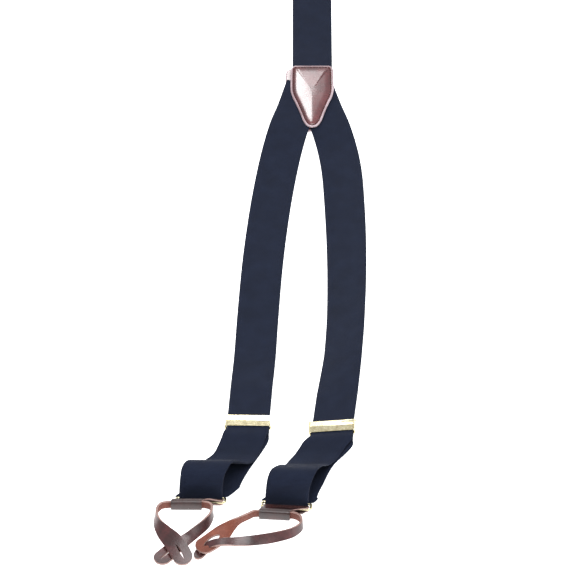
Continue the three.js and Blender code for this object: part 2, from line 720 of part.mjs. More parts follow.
function endGroup(side) {
  const group = new THREE.Group();
  group.add(ring(side), cuff(side), buttonStrap(side));
  group.position.set(ENDS[side].x, ENDS[side].y, 0);
  group.rotation.z = radians(ENDS[side].turn);
  return group;
}

// ---------------------------------------------------------------- adjusters
function adjusterFrame(side) {
  const halfLength = SLIDE_LENGTH / 2;
  const halfWidth = EAR_INSIDE + EAR_THICKNESS;
  const plate = outline([
    [-halfWidth, -halfLength], [halfWidth, -halfLength],
    [halfWidth, halfLength], [-halfWidth, halfLength],
  ]);
  const windowFrom = -halfLength + BAR_LENGTH;
  const windowTo = windowFrom + WINDOW_LENGTH + WEB_HALF;
  plate.holes.push(new THREE.Path([
    new THREE.Vector2(-WINDOW_HALF, windowFrom), new THREE.Vector2(WINDOW_HALF, windowFrom),
    new THREE.Vector2(WINDOW_HALF, windowTo), new THREE.Vector2(-WINDOW_HALF, windowTo),
  ]));
  const base = new THREE.ExtrudeGeometry(plate, { depth: SHEET, bevelEnabled: false });
  base.translate(0, 0, FRAME_Z);
  let body = solid(base);
  const earShape = outline([
    [-halfLength, FRAME_Z], [halfLength, FRAME_Z],
    [halfLength, EAR_TOP - 1.4], [halfLength - 1.2, EAR_TOP],
    [PIVOT_Y - 2, EAR_TOP], [-halfLength, FRAME_Z + 5.2],
  ]);
  const hole = new THREE.Path();
  hole.absarc(PIVOT_Y, PIVOT_Z, PIN_RADIUS + 0.1, 0, Math.PI * 2, true);
  earShape.holes.push(hole);
  for (const sign of [-1, 1]) {
    const ear = alongX(earShape, EAR_THICKNESS);
    ear.translate(sign * (EAR_INSIDE + EAR_THICKNESS / 2), 0, 0);
    body = body.add(solid(ear));
  }
  return named(`adjuster_frame_${side}`, meshed(body), BRASS());
}

// The lever's cover is a shallow roof of two facets, rolled round the pin at its upper edge.
function adjusterLever(side) {
  const width = 2 * (EAR_INSIDE - CLEARANCE);
  const ridgeY = -SLIDE_LENGTH / 6;
  const ridgeZ = PIVOT_Z + BARREL_RADIUS + 0.3;
  const lipY = -SLIDE_LENGTH / 2;
  const lipZ = STRAP_TOP + CLEARANCE + LEVER_SHEET;
  const backY = PIVOT_Y + 0.2;
  const backZ = PIVOT_Z + BARREL_RADIUS;
  const roof = alongX(outline([
    [backY, backZ], [ridgeY, ridgeZ], [lipY, lipZ],
    [lipY, lipZ - LEVER_SHEET], [ridgeY, ridgeZ - LEVER_SHEET * 1.15],
    [backY, backZ - LEVER_SHEET * 0.8],
  ]), width);
  const barrelShape = new THREE.Shape();
  barrelShape.absarc(PIVOT_Y, PIVOT_Z, BARREL_RADIUS, 0, Math.PI * 2, false);
  const bore = new THREE.Path();
  bore.absarc(PIVOT_Y, PIVOT_Z, PIN_RADIUS + CLEARANCE, 0, Math.PI * 2, true);
  barrelShape.holes.push(bore);
  const body = solid(roof).add(solid(alongX(barrelShape, width)));
  const comb = toothComb(width);
  return named(`adjuster_lever_${side}`, meshed(body.add(solid(comb))), BRASS());
}

// The row of teeth under the lever that bites the strap.
function toothComb(width) {
  const top = PIVOT_Z - PIN_RADIUS - CLEARANCE - 0.2;
  const tip = STRAP_TOP + CLEARANCE;
  const pitch = width / TOOTH_COUNT;
  const points = [[width / 2, top], [-width / 2, top]];
  for (let i = 0; i < TOOTH_COUNT; i += 1) {
    const left = -width / 2 + i * pitch;
    points.push([left, tip + TOOTH_HEIGHT]);
    points.push([left + pitch / 2, tip]);
  }
  points.push([width / 2, tip + TOOTH_HEIGHT]);
  const geometry = new THREE.ExtrudeGeometry(outline(points), { depth: SHEET, bevelEnabled: false });
  geometry.rotateX(Math.PI / 2);
  geometry.translate(0, PIVOT_Y + SHEET / 2, 0);
  return geometry;
}

function adjusterPin(side) {
  const half = EAR_INSIDE + EAR_THICKNESS + CLEARANCE;
  const profile = [
    [0, -half - PIN_HEAD_HEIGHT], [PIN_HEAD_RADIUS, -half - PIN_HEAD_HEIGHT * 0.4],
    [PIN_HEAD_RADIUS, -half], [PIN_RADIUS, -half], [PIN_RADIUS, half],
    [PIN_HEAD_RADIUS, half], [PIN_HEAD_RADIUS, half + PIN_HEAD_HEIGHT * 0.4],
    [0, half + PIN_HEAD_HEIGHT],
  ].map(([x, y]) => new THREE.Vector2(x, y));
  const geometry = new THREE.LatheGeometry(profile, 12);
  geometry.rotateZ(-Math.PI / 2);
  geometry.translate(0, PIVOT_Y, PIVOT_Z);
  return named(`adjuster_pin_${side}`, geometry, BRASS());
}

function adjusterGroup(side) {
  const group = new THREE.Group();
  group.add(adjusterFrame(side), adjusterLever(side), adjusterPin(side));
  group.applyMatrix4(adjusterPlace(side));
  return group;
}

// ---------------------------------------------------------------- the whole
const suspenders = new THREE.Group();
suspenders.add(
  patchLeather('patch_back', 0, BACKING_WIDTH, BACKING_SHIFT),
  patchLeather('patch_front', PATCH_TOP_LAYER, PATCH_WIDTH, PATCH_SHIFT),
  patchStitching(),
  backStrap(),
  barTack(),
);
for (const side of ['left', 'right']) {
  suspenders.add(frontStrap(side), returnLeg(side), adjusterGroup(side));
}
for (const side of ['left', 'right', 'back']) {
  suspenders.add(endGroup(side));
}

export default suspenders;
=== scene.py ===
"""Button-on suspenders laid front side up: woven elastic, leather and brass."""

import math

import bmesh
import bpy
import numpy as np
from mathutils import Matrix, Vector


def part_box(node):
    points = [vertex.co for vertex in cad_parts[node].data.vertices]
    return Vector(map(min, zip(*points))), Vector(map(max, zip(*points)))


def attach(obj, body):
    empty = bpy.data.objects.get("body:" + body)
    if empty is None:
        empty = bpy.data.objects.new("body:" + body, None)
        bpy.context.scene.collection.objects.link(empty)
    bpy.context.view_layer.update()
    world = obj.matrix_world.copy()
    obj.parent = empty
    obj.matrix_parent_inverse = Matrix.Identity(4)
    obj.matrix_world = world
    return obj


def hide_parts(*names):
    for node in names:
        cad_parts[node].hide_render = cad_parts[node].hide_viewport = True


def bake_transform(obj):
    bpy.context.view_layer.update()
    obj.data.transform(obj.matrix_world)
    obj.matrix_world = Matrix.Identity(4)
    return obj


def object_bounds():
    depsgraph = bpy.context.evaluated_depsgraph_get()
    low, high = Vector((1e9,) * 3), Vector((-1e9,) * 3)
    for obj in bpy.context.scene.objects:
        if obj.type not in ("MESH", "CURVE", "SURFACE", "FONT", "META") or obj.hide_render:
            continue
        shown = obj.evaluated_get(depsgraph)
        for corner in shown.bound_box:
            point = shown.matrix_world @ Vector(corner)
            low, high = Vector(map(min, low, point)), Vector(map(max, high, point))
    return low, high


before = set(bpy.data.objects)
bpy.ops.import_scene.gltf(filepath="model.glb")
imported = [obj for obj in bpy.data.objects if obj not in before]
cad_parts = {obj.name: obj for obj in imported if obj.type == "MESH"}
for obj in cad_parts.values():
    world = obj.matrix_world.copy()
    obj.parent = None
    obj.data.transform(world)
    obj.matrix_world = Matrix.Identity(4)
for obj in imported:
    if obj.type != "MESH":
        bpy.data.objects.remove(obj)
cad_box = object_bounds()

MM = 0.001
UP = np.array([0.0, 0.0, 1.0])
SIDES = ("left", "right")
ENDS = ("left", "right", "back")

# ------------------------------------------------------------------ sizes, in millimetres
CLEARANCE = 0.3
WEB_WIDTH = 39.5
WEB_THICKNESS = 1.3
WEB_HALF = WEB_THICKNESS / 2
ON_TABLE = 0.2 + WEB_HALF
OVER_RETURN = ON_TABLE + WEB_THICKNESS + CLEARANCE
PATCH_LEATHER = 1.6
LOWER_LAYER = PATCH_LEATHER + CLEARANCE + WEB_HALF
UPPER_LAYER = LOWER_LAYER + WEB_THICKNESS + CLEARANCE
PATCH_UNDER = UPPER_LAYER + WEB_HALF + CLEARANCE
PATCH_TOP = PATCH_UNDER + PATCH_LEATHER
STRAP_BUTT_Y = 20.0
WIRE = 2.6
RING_BEND = 2.2
RING_INSIDE = WEB_WIDTH + 3
RING_PITCH = 7.0
WRAP_RADIUS = WIRE / 2 + CLEARANCE + WEB_HALF
RING_HEIGHT = CLEARANCE + WEB_HALF + WRAP_RADIUS
CUFF_LEATHER = 1.2
CUFF_WIDTH = RING_INSIDE - 2 * CLEARANCE
CUFF_END_WIDTH = 28.0
CUFF_DEPTH = 10.0
CUFF_WRAP = WIRE / 2 + CLEARANCE + CUFF_LEATHER / 2
TAB_WIDTH = 8.0
TAB_THICKNESS = 2.2
TAB_END_WIDTH = 18.0
TUNNEL_Z = CUFF_LEATHER + 2 * CLEARANCE + TAB_WIDTH / 2
TUNNEL_HALF_HEIGHT = TAB_WIDTH / 2 + CLEARANCE + CUFF_LEATHER / 2
TUNNEL_HALF_DEPTH = TAB_THICKNESS / 2 + CLEARANCE + CUFF_LEATHER / 2
SLIDE_LENGTH = 12.0
FRAME_Z = ON_TABLE + WEB_HALF + CLEARANCE
TAIL_Z = FRAME_Z + 1 + CLEARANCE + WEB_HALF
STRAP_Z = TAIL_Z + WEB_THICKNESS + CLEARANCE
BAR_LENGTH = 2.6
BACK_STRAP_X = 3.0
BACK_RING_Y = 212.0
BACK_TAIL = 32.0
RIB_PITCH = 1.15  # the webbing's crosswise ribs
WARP_PITCH = 0.95  # and its lengthwise threads
SPAN_STEPS = 8  # steps of a webbing's line from one of its points to the next
PATCH_SHIFT = 2.6  # the front leather is sewn a little to one side
PATCH_RIM_DEPTH = 0.75  # how far the front leather's edge rounds over
PATCH_STITCH_INSET = 3.0
PATCH_THREAD_RADIUS = 0.36
EDGE_BAND = 8.0  # the part of a patch's profile that is measured from its edge
CUFF_STITCH_PITCH = 2.9
CUFF_THREAD_RADIUS = 0.3
TACK_PITCH = 0.62
TACK_THREAD_RADIUS = 0.26

ADJUSTERS = {
    "left": dict(x=-58.0, y=-452.4, z=1.0, turn=3.6, lean=2.5),
    "right": dict(x=20.8, y=-462.6, z=4.6, turn=6.3, lean=12.0),
}
END_PLACES = {
    "left": dict(x=-101.0, y=-545.0, turn=0.0, tilt=15.0, skew=-13.0, lift=5.5),
    "right": dict(x=-22.5, y=-551.0, turn=-4.0, tilt=6.0, skew=-10.0, lift=0.0),
    "back": dict(x=BACK_STRAP_X, y=BACK_RING_Y, turn=180.0, tilt=0.0, skew=0.0, lift=0.0),
}
LEFT_TUNNEL_Z = TUNNEL_Z + END_PLACES["left"]["lift"]
# x, y, height of the middle line, lean in degrees
LONG_STRAPS = {
    "left": [
        (-3.5, STRAP_BUTT_Y - 6, UPPER_LAYER, 0), (-7, 0, UPPER_LAYER, 0),
        (-13, -24, UPPER_LAYER, 0), (-19.5, -46, UPPER_LAYER, 0), (-26, -75, OVER_RETURN, 0),
        (-32, -110, ON_TABLE, 0), (-39, -165, ON_TABLE, 0), (-45.5, -235, ON_TABLE, 0),
        (-50, -310, ON_TABLE, 0), (-52.6, -365, 2.2, 1),
    ],
    "right": [
        (3.5, STRAP_BUTT_Y - 6, LOWER_LAYER, 0), (7, 0, LOWER_LAYER, 0),
        (13.5, -24, LOWER_LAYER, 0), (20, -46, LOWER_LAYER, 0), (26.5, -75, ON_TABLE + 0.2, 1),
        (31, -110, 2.2, 3), (33.6, -165, 4.6, 10), (34.9, -235, 6.9, 17), (33.6, -310, 9, 23),
        (30.4, -365, 9.4, 23),
    ],
}
# x and y from the ring's middle, height above the table
SLACK_LEGS = {
    "left": [
        (39.6, 77, OVER_RETURN + 4), (36, 66, OVER_RETURN + 1.9), (30.5, 52, OVER_RETURN + 1.4),
        (21.5, 39, 8.5), (12.8, 29.5, 22), (7, 19.5, 30.5), (2.5, 9, 29), (0.5, 2, 19.5),
    ],
    "right": [
        (34.6, 79, OVER_RETURN + 8.2), (29.3, 69, OVER_RETURN + 6.2),
        (23.4, 57, OVER_RETURN + 4.8), (16.5, 43.5, 9.6), (10.5, 28, 24), (5, 14.5, 31),
        (1.5, 4.8, 25.5), (0.3, 0.3, 15),
    ],
}
# the webbing's way back under the slack leg, in the same terms
RETURN_LEGS = {
    "left": [
        (5.5, 9, ON_TABLE + 0.4), (13.5, 19, ON_TABLE + 0.6), (25, 42, ON_TABLE + 0.9),
    ],
    "right": [
        (4.5, 8.5, ON_TABLE + 1.5), (11, 24, ON_TABLE + 2.5), (20.5, 50, ON_TABLE + 3.5),
    ],
}
# x and y from the tunnel's middle, height above the table, roll in degrees, flare
TAB_PATHS = {
    "left": [
        (1, -65.5, 3.4, 6, 0.9), (-4.3, -54, 6, 12, 1), (-11, -42.5, 7.8, 20, 0.95),
        (-19.5, -31, 8, 34, 0.6), (-26, -19.5, 8.6, 58, 0.15),
        (-27, -8.5, LEFT_TUNNEL_Z - 1, 84, 0), (-23, -1.8, LEFT_TUNNEL_Z, 90, 0),
        (-17, 0, LEFT_TUNNEL_Z, 90, 0), (0, 0, LEFT_TUNNEL_Z, 90, 0),
        (17, 0, LEFT_TUNNEL_Z, 90, 0), (22.5, -2.8, LEFT_TUNNEL_Z, 90, 0), (23.4, -9, 9, 80, 0),
        (18.8, -18, 6.6, 64, 0.15), (10, -27.2, 5.2, 48, 0.2), (-0.5, -36.5, 3.3, 22, 0.3),
        (-10.3, -45, 2.2, 3, 0.6), (-18, -53.2, 1.8, 0, 0.8), (-26, -62, 1.7, 0, 0.8),
    ],
    "right": [
        (-66.5, -47.5, 4.9, 180, 1), (-55.5, -37.5, 5.1, 178, 1), (-46.5, -27, 5.4, 168, 0.85),
        (-39, -17.5, 6, 132, 0.3), (-31.5, -9.5, TUNNEL_Z, 96, 0), (-23.5, -3.5, TUNNEL_Z, 90, 0),
        (-18, 0, TUNNEL_Z, 90, 0), (0, 0, TUNNEL_Z, 90, 0), (18, 0, TUNNEL_Z, 90, 0),
        (24, -4, TUNNEL_Z, 90, 0), (25.5, -11.5, TUNNEL_Z, 80, 0), (19, -20, TUNNEL_Z, 66, 0.1),
        (4.5, -27.5, 6.4, 56, 0.15), (-12, -33.5, 7.6, 42, 0.15), (-31, -38, 8.6, 14, 0.05),
        (-44, -39.5, 8.8, 0, 0), (-51.5, -40, 7.2, 0, 0), (-57.5, -41.2, 4.2, 0, 0),
        (-61.4, -44.6, 1.9, 0, 0.15), (-64.6, -49.4, 1.4, 0, 0.25), (-66.8, -54.8, 1.4, 0, 0.3),
    ],
    "back": [
        (-13, -68, 1.4, 0, 0.9), (-13.5, -50, 2, 0, 0.9), (-20, -34, 5.4, 30, 0.25),
        (-26, -17, TUNNEL_Z, 84, 0), (-24.5, -4, TUNNEL_Z, 90, 0), (-18, 0, TUNNEL_Z, 90, 0),
        (0, 0, TUNNEL_Z, 90, 0), (18, 0, TUNNEL_Z, 90, 0), (24.5, -4, TUNNEL_Z, 90, 0),
        (26, -17, TUNNEL_Z, 84, 0), (20, -34, 5.4, 30, 0.25), (13.5, -50, 2, 0, 0.9),
        (13, -68, 1.4, 0, 0.9),
    ],
}


# ------------------------------------------------------------------ curves and places
def unit(v):
    v = np.asarray(v, float)
    return v / np.maximum(np.linalg.norm(v, axis=-1, keepdims=True), 1e-12)


def spline(points, per_span, centripetal=True):
    """A Catmull-Rom curve through the points, with the same number of steps in each span."""
    p = np.asarray(points, float)
    ends = np.vstack([2 * p[0] - p[1], p, 2 * p[-1] - p[-2]])
    out = []
    for i in range(len(p) - 1):
        a, b, c, d = ends[i:i + 4]
        if centripetal:
            steps = [max(np.linalg.norm(q - r), 1e-4) ** 0.5 for q, r in ((a, b), (b, c), (c, d))]
            t1 = (b - a) / steps[0] - (c - a) / (steps[0] + steps[1]) + (c - b) / steps[1]
            t2 = (c - b) / steps[1] - (d - b) / (steps[1] + steps[2]) + (d - c) / steps[2]
            t1, t2 = t1 * steps[1], t2 * steps[1]
        else:
            t1, t2 = (c - a) / 2, (d - b) / 2
        last = i == len(p) - 2
        for u in np.linspace(0, 1, per_span + 1)[: None if last else -1]:
            out.append(b + t1 * u + (-3 * b + 3 * c - 2 * t1 - t2) * u ** 2
                       + (2 * b - 2 * c + t1 + t2) * u ** 3)
    return np.array(out)


def tangents(points, closed=False):
    if closed:
        return unit(np.roll(points, -1, 0) - np.roll(points, 1, 0))
    return unit(np.gradient(points, axis=0))


def even(points, step, *others):
    """Samples the line and what goes with it at even steps of its length."""
    run = np.concatenate([[0], np.cumsum(np.linalg.norm(np.diff(points, axis=0), axis=1))])
    count = max(2, int(round(run[-1] / step)) + 1)
    at = np.linspace(0, run[-1], count)
    found = [np.stack([np.interp(at, run, q[:, k]) for k in range(q.shape[1])], 1)
             for q in (points, *others)]
    return found, at


def turn_z(degrees):
    return np.array(Matrix.Rotation(math.radians(degrees), 4, "Z"))


def adjuster_place(side):
    a = ADJUSTERS[side]
    move = np.array(Matrix.Translation((a["x"], a["y"], a["z"])))
    lean = np.array(Matrix.Rotation(-math.radians(a["lean"]), 4, "Y"))
    return move @ turn_z(-a["turn"]) @ lean


def end_place(side):
    e = END_PLACES[side]
    return np.array(Matrix.Translation((e["x"], e["y"], 0))) @ turn_z(e["turn"])


def placed(matrix, points):
    points = np.atleast_2d(np.asarray(points, float))
    return points @ matrix[:3, :3].T + matrix[:3, 3]


def ring_bar(side):
    tilt = math.radians(END_PLACES[side]["tilt"])
    return -RING_PITCH * math.cos(tilt), RING_HEIGHT + RING_PITCH * math.sin(tilt)


def tunnel_y(side):
    return ring_bar(side)[0] - math.sqrt(CUFF_DEPTH ** 2 - END_PLACES[side]["lift"] ** 2)


# ------------------------------------------------------------------ meshes
def make_mesh(name, vertices, faces, materials, face_materials=None, uvs=None, smooth=True):
    """A mesh object from points in millimetres. uvs gives one pair for each vertex, in metres."""
    mesh = bpy.data.meshes.new(name)
    mesh.from_pydata([tuple(v) for v in np.asarray(vertices) * MM], [], [list(f) for f in faces])
    for material in materials:
        mesh.materials.append(material)
    if face_materials is not None:
        mesh.polygons.foreach_set("material_index", np.asarray(face_materials, np.int32))
    if uvs is not None:
        layer = mesh.uv_layers.new(name="UVMap")
        loops = np.zeros(len(mesh.loops), np.int32)
        mesh.loops.foreach_get("vertex_index", loops)
        layer.data.foreach_set("uv", np.asarray(uvs, np.float32)[loops].ravel())
    mesh.polygons.foreach_set("use_smooth", [smooth] * len(mesh.polygons))
    mesh.update()
    obj = bpy.data.objects.new(name, mesh)
    bpy.context.scene.collection.objects.link(obj)
    return obj


def tube_faces(rows, count, closed_rows=False, caps=True):
    """Quads between rings of count points, and the caps of an open tube."""
    faces = []
    for i in range(rows if closed_rows else rows - 1):
        a, b = i * count, ((i + 1) % rows) * count
        for j in range(count):
            k = (j + 1) % count
            faces.append((a + j, b + j, b + k, a + k))
    if caps and not closed_rows:
        faces.append(tuple(range(count)))
        faces.append(tuple(reversed(range((rows - 1) * count, rows * count))))
    return faces


def outward(obj):
    """Turns a closed mesh's faces so that they point out."""
    mesh = obj.data
    volume = sum(p.area * p.center.dot(p.normal) for p in mesh.polygons)
    if volume < 0:
        mesh.flip_normals()
    return obj


def add_bevel(obj, width, segments, angle):
    """Rounds the edges that are sharper than an angle, given in degrees."""
    bevel = obj.modifiers.new("soft_edges", "BEVEL")
    bevel.width = width * MM
    bevel.segments = segments
    bevel.limit_method = "ANGLE"
    bevel.angle_limit = math.radians(angle)


# ------------------------------------------------------------------ materials
def node_tree(name):
    material = bpy.data.materials.new(name)
    material.use_nodes = True
    tree = material.node_tree
    tree.nodes.clear()
    shader = tree.nodes.new("ShaderNodeBsdfPrincipled")
    output = tree.nodes.new("ShaderNodeOutputMaterial")
    tree.links.new(shader.outputs["BSDF"], output.inputs["Surface"])
    return material, tree, shader


def noise(tree, vector, scale, detail=3.0, roughness=0.5):
    n = tree.nodes.new("ShaderNodeTexNoise")
    n.inputs["Scale"].default_value = scale
    n.inputs["Detail"].default_value = detail
    n.inputs["Roughness"].default_value = roughness
    tree.links.new(vector, n.inputs["Vector"])
    return n.outputs["Fac"]


def maths(tree, operation, a, b=None):
    m = tree.nodes.new("ShaderNodeMath")
    m.operation = operation
    for socket, value in zip(m.inputs, (a, b)):
        if value is None:
            continue
        if isinstance(value, (int, float)):
            socket.default_value = value
        else:
            tree.links.new(value, socket)
    return m.outputs[0]


def mixed(tree, first, second):
    """The sum of two values, each times its weight."""
    return maths(tree, "ADD", maths(tree, "MULTIPLY", *first), maths(tree, "MULTIPLY", *second))


def ramp(tree, factor, stops):
    r = tree.nodes.new("ShaderNodeValToRGB")
    elements = r.color_ramp.elements
    while len(elements) < len(stops):
        elements.new(0.5)
    for element, (place, color) in zip(elements, stops):
        element.position = place
        element.color = (*color, 1)
    tree.links.new(factor, r.inputs["Fac"])
    return r.outputs["Color"]


def bump(tree, shader, height, distance, strength=1.0):
    b = tree.nodes.new("ShaderNodeBump")
    b.inputs["Strength"].default_value = strength
    b.inputs["Distance"].default_value = distance
    tree.links.new(height, b.inputs["Height"])
    tree.links.new(b.outputs["Normal"], shader.inputs["Normal"])


def object_coordinates(tree):
    return tree.nodes.new("ShaderNodeTexCoord").outputs["Object"]


def uv_parts(tree):
    uv = tree.nodes.new("ShaderNodeUVMap")
    uv.uv_map = "UVMap"
    split = tree.nodes.new("ShaderNodeSeparateXYZ")
    tree.links.new(uv.outputs["UV"], split.inputs[0])
    return uv.outputs["UV"], split.outputs["X"], split.outputs["Y"]


def webbing_material():
    """Navy woven elastic: fine crosswise ribs over lengthwise warp threads, dull with a faint sheen."""
    material, tree, shader = node_tree("navy_elastic_webbing")
    uv, across, along = uv_parts(tree)
    rib = maths(tree, "SINE", maths(tree, "MULTIPLY", along, 2 * math.pi / (RIB_PITCH * MM)))
    warp = maths(tree, "SINE", maths(tree, "MULTIPLY", across, 2 * math.pi / (WARP_PITCH * MM)))
    both = maths(tree, "MULTIPLY", rib, warp)
    weave = mixed(tree, (rib, 0.55), (both, 0.45))
    fibre = noise(tree, uv, 2600, 2)
    cloudy = noise(tree, uv, 60, 4)
    tone = mixed(tree, (weave, 0.16), (fibre, 0.45))
    tone = maths(tree, "ADD", tone, maths(tree, "MULTIPLY", cloudy, 0.4))
    color = ramp(tree, tone, [
        (0.15, (0.0042, 0.006, 0.0135)),
        (0.5, (0.0085, 0.013, 0.03)),
        (0.9, (0.0175, 0.0262, 0.054)),
    ])
    tree.links.new(color, shader.inputs["Base Color"])
    shader.inputs["Roughness"].default_value = 0.86
    shader.inputs["Specular IOR Level"].default_value = 0.15
    shader.inputs["Sheen Weight"].default_value = 0.03
    shader.inputs["Sheen Roughness"].default_value = 0.5
    height = maths(tree, "ADD", weave, maths(tree, "MULTIPLY", fibre, 0.5))
    bump(tree, shader, height, 0.00022, 0.8)
    return material


def leather_material(name, dark, mid, light, rough, grain=900, depth=0.00012, coat=0.0):
    """Finished leather: fine grain, soft creases and a colour that wears lighter in patches."""
    material, tree, shader = node_tree(name)
    place = object_coordinates(tree)
    cells = tree.nodes.new("ShaderNodeTexVoronoi")
    cells.inputs["Scale"].default_value = grain
    tree.links.new(place, cells.inputs["Vector"])
    fine = noise(tree, place, grain * 1.7, 3)
    broad = noise(tree, place, 70, 5, 0.6)
    tone = mixed(tree, (broad, 0.8), (fine, 0.2))
    color = ramp(tree, tone, [(0.3, dark), (0.5, mid), (0.72, light)])
    tree.links.new(color, shader.inputs["Base Color"])
    low, high = rough
    spread = maths(tree, "MULTIPLY", noise(tree, place, 160, 3), high - low)
    tree.links.new(maths(tree, "ADD", spread, low), shader.inputs["Roughness"])
    shader.inputs["Coat Weight"].default_value = coat
    shader.inputs["Coat Roughness"].default_value = 0.18
    height = maths(tree, "ADD", cells.outputs["Distance"], maths(tree, "MULTIPLY", broad, 1.6))
    bump(tree, shader, height, depth, 0.7)
    return material


def brass_material():
    """Polished pale brass with fine lengthwise brushing and a little tarnish."""
    material, tree, shader = node_tree("polished_brass")
    place = object_coordinates(tree)
    stretched = tree.nodes.new("ShaderNodeMapping")
    stretched.inputs["Scale"].default_value = (120, 2400, 2400)
    tree.links.new(place, stretched.inputs["Vector"])
    brushed = noise(tree, stretched.outputs["Vector"], 1.0, 2)
    blotch = noise(tree, place, 240, 4)
    tone = mixed(tree, (blotch, 0.7), (brushed, 0.3))
    color = ramp(tree, tone, [
        (0.3, (0.52, 0.44, 0.25)),
        (0.55, (0.76, 0.68, 0.44)),
        (0.8, (0.86, 0.80, 0.58)),
    ])
    tree.links.new(color, shader.inputs["Base Color"])
    shader.inputs["Metallic"].default_value = 1.0
    rough = maths(tree, "ADD", maths(tree, "MULTIPLY", brushed, 0.16), 0.17)
    tree.links.new(rough, shader.inputs["Roughness"])
    bump(tree, shader, brushed, 0.00002, 0.5)
    return material


def thread_material(name, dark, light):
    """Twisted sewing thread: slanting plies along each stitch."""
    material, tree, shader = node_tree(name)
    place = object_coordinates(tree)
    wave = tree.nodes.new("ShaderNodeTexWave")
    wave.bands_direction = "DIAGONAL"
    wave.inputs["Scale"].default_value = 900
    tree.links.new(place, wave.inputs["Vector"])
    color = ramp(tree, wave.outputs["Fac"], [(0.2, dark), (0.8, light)])
    tree.links.new(color, shader.inputs["Base Color"])
    shader.inputs["Roughness"].default_value = 0.55
    bump(tree, shader, wave.outputs["Fac"], 0.00008, 0.8)
    return material


WEBBING = webbing_material()
PATCH_SKIN = leather_material(
    "burgundy_patch_leather", (0.038, 0.006, 0.008), (0.085, 0.012, 0.014), (0.15, 0.028, 0.03),
    (0.22, 0.34), grain=1100, depth=0.00004, coat=1.0)
CUFF_SKIN = leather_material(
    "dark_brown_cuff_leather", (0.012, 0.0045, 0.004), (0.028, 0.0085, 0.0075), (0.06, 0.016, 0.014),
    (0.3, 0.46), grain=900, depth=0.0001, coat=0.15)
STRAP_GRAIN = leather_material(
    "maroon_strap_leather", (0.018, 0.0045, 0.0045), (0.045, 0.0095, 0.0095), (0.1, 0.021, 0.021),
    (0.24, 0.42), grain=900, depth=0.0001, coat=0.3)
STRAP_FLESH = leather_material(
    "orange_brown_flesh_side", (0.085, 0.018, 0.009), (0.15, 0.035, 0.017), (0.23, 0.065, 0.034),
    (0.55, 0.8), grain=700, depth=0.00025)
RAW_EDGE = leather_material(
    "pale_raw_leather_edge", (0.16, 0.08, 0.068), (0.3, 0.185, 0.16), (0.44, 0.31, 0.28),
    (0.45, 0.7), grain=1500, depth=0.0001)
PATCH_RIM = leather_material(
    "pale_patch_rim", (0.2, 0.12, 0.13), (0.36, 0.26, 0.28), (0.52, 0.42, 0.45),
    (0.3, 0.5), grain=1500, depth=0.0001)
BRASS = brass_material()
THREAD = thread_material("maroon_thread", (0.03, 0.008, 0.009), (0.1, 0.028, 0.03))
NAVY_THREAD = thread_material("navy_thread", (0.008, 0.011, 0.024), (0.035, 0.045, 0.08))


# ------------------------------------------------------------------ camera, floor and light
def camera_and_stage():
    """The camera, the white floor, and three soft lights round them."""
    low, _ = cad_box
    distance = 4.5
    elevation = math.radians(45)
    aim = Vector((-0.0214, -0.2703, 0.0))
    data = bpy.data.cameras.new("camera")
    data.sensor_width = 36
    data.lens = 294.5
    data.clip_end = 50
    camera = bpy.data.objects.new("camera", data)
    camera.location = aim + Vector((0, -math.cos(elevation), math.sin(elevation))) * distance
    camera.rotation_euler = (math.radians(90) - elevation, 0, 0)
    bpy.context.scene.collection.objects.link(camera)
    bpy.context.scene.camera = camera

    material, _, shader = node_tree("white_floor")
    shader.inputs["Base Color"].default_value = (0.9, 0.9, 0.9, 1)
    shader.inputs["Roughness"].default_value = 0.9
    shader.inputs["Specular IOR Level"].default_value = 0.1
    shader.inputs["Emission Color"].default_value = (1, 1, 1, 1)
    shader.inputs["Emission Strength"].default_value = 1.15
    bpy.ops.mesh.primitive_plane_add(size=30, location=(aim.x, aim.y, low.z - 0.0003))
    floor = bpy.context.object
    floor.name = "floor"
    floor.data.materials.append(material)

    world = bpy.data.worlds.new("studio")
    world.use_nodes = True
    background = world.node_tree.nodes["Background"]
    background.inputs["Color"].default_value = (0.95, 0.97, 1.0, 1)
    background.inputs["Strength"].default_value = 0.75
    bpy.context.scene.world = world
    bpy.context.scene.view_settings.view_transform = "Standard"

    area_light("overhead_softbox", aim + Vector((0.1, -0.3, 2.2)), aim, 1.6, 42)
    area_light("back_left_softbox", Vector((-0.42, 2.6, 2.4)), Vector((0, 0, 0)), 0.8, 30)
    area_light("front_right_fill", aim + Vector((1.8, -1.8, 1.6)), aim, 1.2, 10)


def area_light(name, place, aim, size, power):
    data = bpy.data.lights.new(name, "AREA")
    data.shape = "SQUARE"
    data.size = size
    data.energy = power
    light = bpy.data.objects.new(name, data)
    light.location = place
    light.rotation_euler = (aim - Vector(place)).to_track_quat("-Z", "Y").to_euler()
    bpy.context.scene.collection.objects.link(light)


camera_and_stage()


# ------------------------------------------------------------------ webbing
def web_section():
    """Webbing's section, across and through as shares of its half width and half thickness."""
    flat = np.linspace(-0.955, 0.955, 13)
    round_edge = [(0.985, 0.72), (1.0, 0.0), (0.985, -0.72)]
    top = [(x, 1.0 if abs(x) < 0.9 else 1.12) for x in flat]
    bottom = [(x, -y) for x, y in reversed(top)]
    left_edge = [(-x, -y) for x, y in round_edge]
    return np.array([*top, *round_edge, *bottom, *left_edge])


